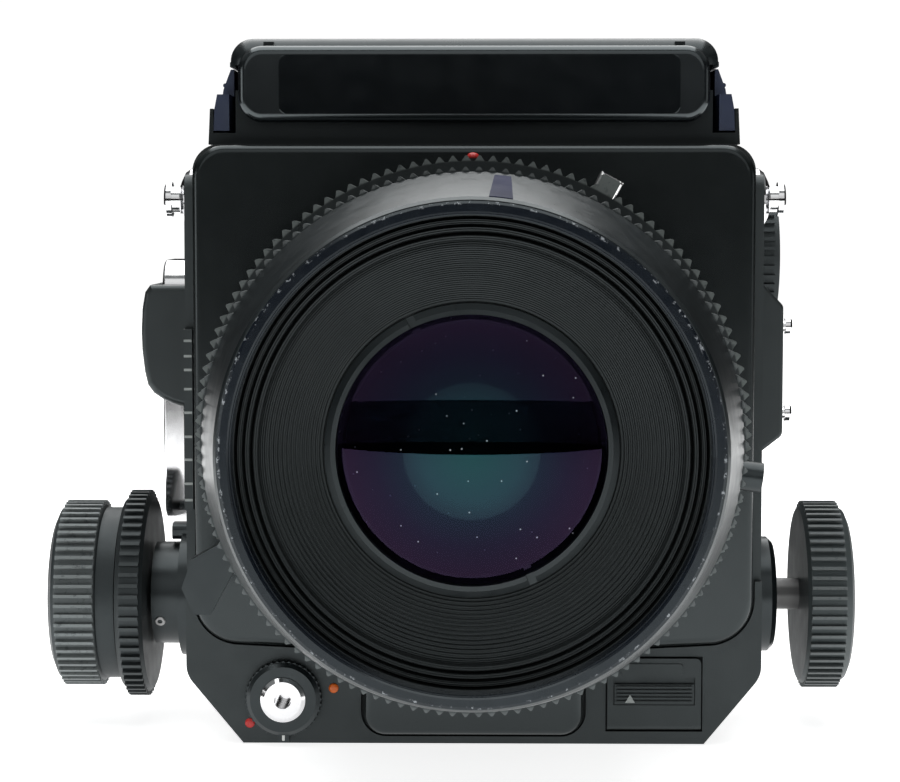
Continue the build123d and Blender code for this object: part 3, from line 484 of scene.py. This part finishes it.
def add_turned(bm, profile, where, steps=32):
    """A body turned about the plane's own z; profile is (radius, height) from axis to axis."""
    rings = []
    for r, h in profile:
        if r == 0:
            rings.append([bm.verts.new(where @ Vector((0, 0, h)))])
            continue
        turns = [2 * pi * n / steps for n in range(steps)]
        rings.append([bm.verts.new(where @ Vector((r * cos(a), r * sin(a), h))) for a in turns])
    for a, b in zip(rings, rings[1:]):
        for n in range(steps):
            k = (n + 1) % steps
            if len(a) == 1:
                bm.faces.new((a[0], b[n], b[k]))
            elif len(b) == 1:
                bm.faces.new((a[n], a[k], b[0]))
            else:
                bm.faces.new((a[n], a[k], b[k], b[n]))


def rounded(width, height, r, steps=5):
    """A rectangle about the origin with rounded corners."""
    points = []
    for n, (sx, sy) in enumerate(((1, 1), (-1, 1), (-1, -1), (1, -1))):
        for k in range(steps + 1):
            a = pi / 2 * (n + k / steps)
            points.append((sx * (width / 2 - r) + r * cos(a), sy * (height / 2 - r) + r * sin(a)))
    return points


def cut(piece, bm):
    """Take a closed bmesh, drawn in millimetres, away from a piece."""
    for v in bm.verts:
        v.co *= MM
    bmesh.ops.recalc_face_normals(bm, faces=bm.faces)
    mesh = bpy.data.meshes.new("cutter")
    bm.to_mesh(mesh)
    bm.free()
    cutter = bpy.data.objects.new("cutter", mesh)
    scene.collection.objects.link(cutter)
    modifier = piece.modifiers.new("cut", "BOOLEAN")
    modifier.operation = "DIFFERENCE"
    modifier.solver = "EXACT"
    modifier.object = cutter
    bpy.context.view_layer.update()
    evaluated = piece.evaluated_get(bpy.context.evaluated_depsgraph_get())
    result = bpy.data.meshes.new_from_object(evaluated)
    piece.modifiers.clear()
    piece.data = result
    bpy.data.objects.remove(cutter)
    bpy.data.meshes.remove(mesh)


def add_text(bm, text, size, where, depth=0.05):
    """Raised figures, centred on the plane's origin."""
    curve = bpy.data.curves.new("figures", "FONT")
    curve.body = text
    curve.size = size
    curve.extrude = depth / 2
    curve.align_x = "CENTER"
    curve.align_y = "CENTER"
    holder = bpy.data.objects.new("figures", curve)
    mesh = bpy.data.meshes.new_from_object(holder)
    mesh.transform(where)
    bm.from_mesh(mesh)
    bpy.data.objects.remove(holder)
    bpy.data.meshes.remove(mesh)
    bpy.data.curves.remove(curve)


def dome(r, height):
    """The profile of a low rounded button."""
    shoulder = [(1, 0.35), (0.8, 0.75), (0.45, 0.95)]
    return [(0, 0), (r, 0), *((r * a, height * b) for a, b in shoulder), (0, height)]


# ------------------------------------------------------------------ bellows
def add_bellows():
    """A square pleated tube with mitred corners, packed flat at rest."""
    folds, half, valley, thick = 9, 35.4, 31.2, 0.22
    back, front = -38.15, -43.45
    sections = 2 * folds + 1
    bm = bmesh.new()
    rows = []
    for skin in (0.0, -thick):
        for n in (range(sections) if skin == 0.0 else reversed(range(sections))):
            share = n / (sections - 1)
            along = 0.5 - sin(asin(1 - 2 * share) / 3)
            reach = (half if n % 2 else valley) + skin
            y = back + (front - back) * along
            points = rounded(2 * reach, 2 * reach, 5.0 if n % 2 else 2.0, 4)
            rows.append([bm.verts.new((x, y, LENS_Z + z)) for x, z in points])
    rows.append(rows[0])
    for a, b in zip(rows, rows[1:]):
        for n in range(len(a)):
            k = (n + 1) % len(a)
            bm.faces.new((a[n], a[k], b[k], b[n]))
    piece = keep(bm, "pleated_bellows", None, "cloth")
    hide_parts("bellows")
    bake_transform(piece)


# ------------------------------------------------------------------ marks and small parts on the front
def add_index_mark():
    """A navy tapered mark inlaid along the cone of the front barrel."""
    bm = bmesh.new()
    across, along, lift = 6, 8, 0.12
    grids = []
    for raised in (-0.2, lift):
        grid = []
        for n in range(along + 1):
            t = n / along
            y = -105.2 + 17.6 * t
            r = 41.0 + (y + 105.4) * 4.2 / 20.3 + raised
            left, right = 86.2 - 0.9 * t, 80.9 + 0.9 * t
            row = []
            for k in range(across + 1):
                a = radians(left + (right - left) * k / across)
                row.append(bm.verts.new((r * cos(a), y, LENS_Z + r * sin(a))))
            grid.append(row)
        grids.append(grid)
    for grid in grids:
        for a, b in zip(grid, grid[1:]):
            for n in range(across):
                bm.faces.new((a[n], a[n + 1], b[n + 1], b[n]))
    low, high = grids
    for n in range(along):
        for k in (0, across):
            bm.faces.new((low[n][k], low[n + 1][k], high[n + 1][k], high[n][k]))
    for n in (0, along):
        for k in range(across):
            bm.faces.new((low[n][k], low[n][k + 1], high[n][k + 1], high[n][k]))
    keep(bm, "index_mark", "standard", "index")


def add_dots():
    for name, body, look, centre, direction, r, height in (
            ("lock_ring_dot", "lock_ring", "red", (0, -65.6, 106.5), UP, 1.1, 1.0),
            ("release_dot_red", "body", "red", (-41.0, COVER_FACE_Y, 3.7), FRONT, 0.9, 0.25),
            ("release_dot_orange", "body", "orange", (-25.6, COVER_FACE_Y, 10.2), FRONT, 0.9, 0.4)):
        bm = bmesh.new()
        add_turned(bm, dome(r, height), place(centre, direction), 24)
        keep(bm, name, body, look, smooth=True)


def add_release_details():
    bm = bmesh.new()
    teeth, tip, root = 40, 7.0, 6.65
    points = []
    for n in range(teeth):
        for turn, r in ((-0.25, root), (-0.15, tip), (0.15, tip), (0.25, root)):
            a = 2 * pi * (n + turn) / teeth
            points.append((r * cos(a), r * sin(a)))
    add_slab(bm, points, 0.0, 1.35, place(RELEASE, FRONT), 0.12)
    knurl = keep(bm, "release_collar_knurl", "release_lock", "anodised")
    hole = bmesh.new()
    add_turned(hole, [(0, -1), (6.3, -1), (6.3, 3), (0, 3)], place(RELEASE, FRONT), 48)
    cut(knurl, hole)
    bm = bmesh.new()
    add_slab(bm, rounded(0.5, 1.4, 0.12), 0.0, 0.07, place((RELEASE[0], -49.4, 1.5), FRONT))
    keep(bm, "release_collar_pointer", "release_lock", "white_ink")


def add_focus_scale():
    bm = bmesh.new()
    for z in (73.9, 71.1, 68.6, 65.1, 60.8, 56.4, 52.2, 47.8, 44.8):
        add_slab(bm, rounded(1.45, 0.45, 0.1, 2), 0.0, 0.05, place((-51.9, COVER_FACE_Y, z), FRONT))
    keep(bm, "focus_scale_ticks", "body", "grey_ink")


def add_screws():
    """Domed heads with cross recesses, over the plain ones."""
    bm = bmesh.new()
    slots = [(0, bmesh.new()), (pi / 2, bmesh.new())]
    spots = [((x, y, 0.9), (0, 0, -1), 2.2, 0.8) for x in (-34.0, 34.0) for y in (-38.0, 42.0)]
    for y, z in ((42.0, 24.0), (42.0, 98.0), (-38.0, 46.0)):
        for side in (-1, 1):
            spots.append(((side * 51.95, y, z), (side, 0, 0), 1.6, 0.75))
    for n, (centre, direction, r, height) in enumerate(spots):
        where = place(centre, direction, 0.4 + 0.7 * n)
        crown = [(1, 0.7), (0.85, 0.9), (0.5, 1.0)]
        profile = [(0, 0), (r, 0), *((r * a, height * b) for a, b in crown), (0, height)]
        add_turned(bm, profile, where, 24)
        for turn, hole in slots:
            points = rounded(r * 1.15, r * 0.28, r * 0.1, 2)
            add_slab(hole, points, height * 0.35, height + 0.5, where @ Matrix.Rotation(turn, 4, "Z"))
    piece = keep(bm, "cross_head_screws", "body", "steel")
    for turn, hole in slots:
        cut(piece, hole)
    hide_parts("cover_screws")


def add_battery_door_details():
    bm = bmesh.new()
    add_slab(bm, rounded(11.4, 2.0, 0.5), 0.0, 0.3, place((32.6, -48.1, 13.95), FRONT), 0.12)
    keep(bm, "battery_door_tab", "battery_hatch", "plastic")
    bm = bmesh.new()
    add_slab(bm, [(-0.9, -0.7), (0.9, -0.7), (0.0, 0.8)], 0.0, 0.1, place((28.6, -48.88, 8.6), FRONT))
    keep(bm, "battery_catch_arrow", "battery_catch", "grey_ink")


def add_nameplate_inset():
    """A plain polished panel let into the finder's front, with no lettering."""
    bm = bmesh.new()
    add_slab(bm, rounded(72.4, 10.6, 1.2), -0.1, 0.16, place((1.0, -46.5, 120.2), FRONT), 0.16)
    keep(bm, "nameplate_inset", "body", "gloss")


def add_set_screw():
    where = place((-59.6, -30.85, 19.7), (0, -0.905, -0.424))
    bm = bmesh.new()
    add_turned(bm, [(0, -0.3), (1.0, -0.3), (1.0, 0.12), (0.85, 0.2), (0, 0.2)], where, 24)
    piece = keep(bm, "bearing_set_screw", "body", "steel")
    hole = bmesh.new()
    add_slab(hole, [(0.5 * cos(pi * n / 3), 0.5 * sin(pi * n / 3)) for n in range(6)], -0.15, 1.0, where)
    cut(piece, hole)


def add_lock_tab():
    a = radians(61.6)
    out = Vector((cos(a), 0, sin(a)))
    bm = bmesh.new()
    where = Matrix.Translation((48.2 * cos(a), -65.6, LENS_Z + 48.2 * sin(a))) @ facing(out)
    add_slab(bm, rounded(3.7, 4.3, 0.7), -1.6, 2.4, where, 0.5)
    keep(bm, "lock_ring_tab", "lock_ring", "alloy")


# ------------------------------------------------------------------ scales and figures
def add_dial_figures():
    """Generic speed numbers round the dial's face, and a bright cap in its middle."""
    bm = bmesh.new()
    figures = ("8", "4", "2", "1", "2", "4", "8", "15", "30", "60", "125", "250", "500", "B")
    for n, text in enumerate(figures):
        a = 2 * pi * n / len(figures)
        spot = place((61.4, DIAL_Y, DIAL_Z), RIGHT, a) @ Matrix.Translation((0, 10.2, 0.02))
        add_text(bm, text, 2.1 if len(text) < 3 else 1.7, spot)
    keep(bm, "speed_figures", "speed_dial", "white_ink")
    bm = bmesh.new()
    add_turned(bm, [(0, -0.2), (7.0, -0.2), (7.0, -0.05), (6.6, 0.0), (6.0, -0.05), (5.4, -0.12), (0, -0.12)],
               place((61.55, DIAL_Y, DIAL_Z), RIGHT), 48)
    keep(bm, "speed_dial_cap", "speed_dial", "alloy", smooth=True)


def add_barrel_scale():
    """Aperture figures, and a depth scale behind them, on the crown of the barrel."""
    bm = bmesh.new()
    stops = ("32", "22", "16", "11", "8", "5.6", "4", "2.8")
    for n, text in enumerate(stops):
        a = radians(90 + 7.2 * (n - 3.5))
        out = Vector((cos(a), 0, sin(a)))
        along = Vector((0, -1, 0))
        side = along.cross(out)
        turn = Matrix((-side, -along, out)).transposed().to_4x4()
        spot = Matrix.Translation(Vector((0, -73.6, LENS_Z)) + out * (SCALE_R + 0.02)) @ turn
        add_text(bm, text, 2.5, spot)
        tick = Matrix.Translation(Vector((0, -75.4, LENS_Z)) + out * SCALE_R) @ turn
        add_slab(bm, rounded(0.3, 1.0, 0.08, 2), -0.1, 0.05, tick)
    keep(bm, "aperture_figures", "standard", "white_ink")
    bm = bmesh.new()
    for n in range(-3, 4):
        a = radians(90 + 5.2 * n)
        out = Vector((cos(a), 0, sin(a)))
        turn = Matrix((Vector((sin(a), 0, -cos(a))), Vector((0, 1, 0)), out)).transposed().to_4x4()
        tick = Matrix.Translation(Vector((0, -70.0, LENS_Z)) + out * SCALE_R) @ turn
        add_slab(bm, rounded(0.32, 2.2 if n else 3.0, 0.1, 2), -0.1, 0.05, tick)
    keep(bm, "depth_scale_ticks", "standard", "grey_ink")


def add_counter():
    """The frame counter under its window on the magazine's crown."""
    where = place((12.0, 78.0, 105.8), UP)
    bm = bmesh.new()
    add_turned(bm, [(0, 0), (3.9, 0), (3.9, 0.25), (0, 0.25)], where, 40)
    keep(bm, "counter_disc", "film_back", "white_ink")
    bm = bmesh.new()
    for n in range(10):
        spot = where @ Matrix.Rotation(2 * pi * n / 10, 4, "Z") @ Matrix.Translation((0, 2.9, 0.27))
        add_text(bm, str(n + 1), 1.2, spot, 0.03)
    keep(bm, "counter_figures", "film_back", "black_blades")
    bm = bmesh.new()
    add_turned(bm, [(0, 0.45), (3.95, 0.45), (3.95, 0.9), (3.2, 1.15), (1.8, 1.3), (0, 1.35)], where, 40)
    keep(bm, "counter_window", "film_back", "glass_clear", smooth=True)


# ------------------------------------------------------------------ coverings
def add_coverings():
    """Pebbled leatherette on the flat outer faces, glued into shallow frames."""
    panels = (
        ("leatherette_left_rear", "body", (-52.6, 33.5, 61.0), LEFT, 24.0, 66.0),
        ("leatherette_right_rear", "body", (52.6, 36.5, 60.0), RIGHT, 20.0, 66.0),
        ("leatherette_right_low", "body", (52.6, 8.0, 56.0), RIGHT, 20.0, 24.0),
        ("leatherette_magazine_left", "film_back", (-47.5, 76.0, 45.0), LEFT, 27.0, 54.0),
        ("leatherette_magazine_right", "film_back", (47.5, 77.0, 58.7), RIGHT, 29.0, 76.0),
    )
    for name, body, centre, direction, width, height in panels:
        bm = bmesh.new()
        add_slab(bm, rounded(width, height, 2.5), -0.05, 0.3, place(centre, direction), 0.15)
        keep(bm, name, body, "leather")
    frame_outline = rounded(88.0, 84.0, 3.0)
    bm = bmesh.new()
    add_slab(bm, frame_outline, -0.1, 0.3, place((-0.4, 102.5, 58.7), BACK), 0.15)
    piece = keep(bm, "leatherette_door", "rear_door", "leather")
    hole = bmesh.new()
    add_slab(hole, rounded(61.0, 47.0, 1.0), -2.0, 2.0, place((0, 102.5, 59.0), BACK))
    cut(piece, hole)


def add_memo_card():
    bm = bmesh.new()
    add_slab(bm, rounded(56.0, 44.4, 0.6, 2), 0.05, 0.30, place((0, 103.0, 60.2), BACK))
    keep(bm, "memo_card", "rear_door", "paper")
    bm = bmesh.new()
    for n in range(7):
        add_slab(bm, rounded(46.0, 0.22, 0.08, 1), 0.30, 0.33, place((0, 103.0, 76.0 - 5.2 * n), BACK))
    keep(bm, "memo_card_rules", "rear_door", "grey_ink")


add_bellows()
add_index_mark()
add_dots()
add_release_details()
add_focus_scale()
add_screws()
add_battery_door_details()
add_nameplate_inset()
add_set_screw()
add_lock_tab()
add_dial_figures()
add_barrel_scale()
add_counter()
add_coverings()
add_memo_card()
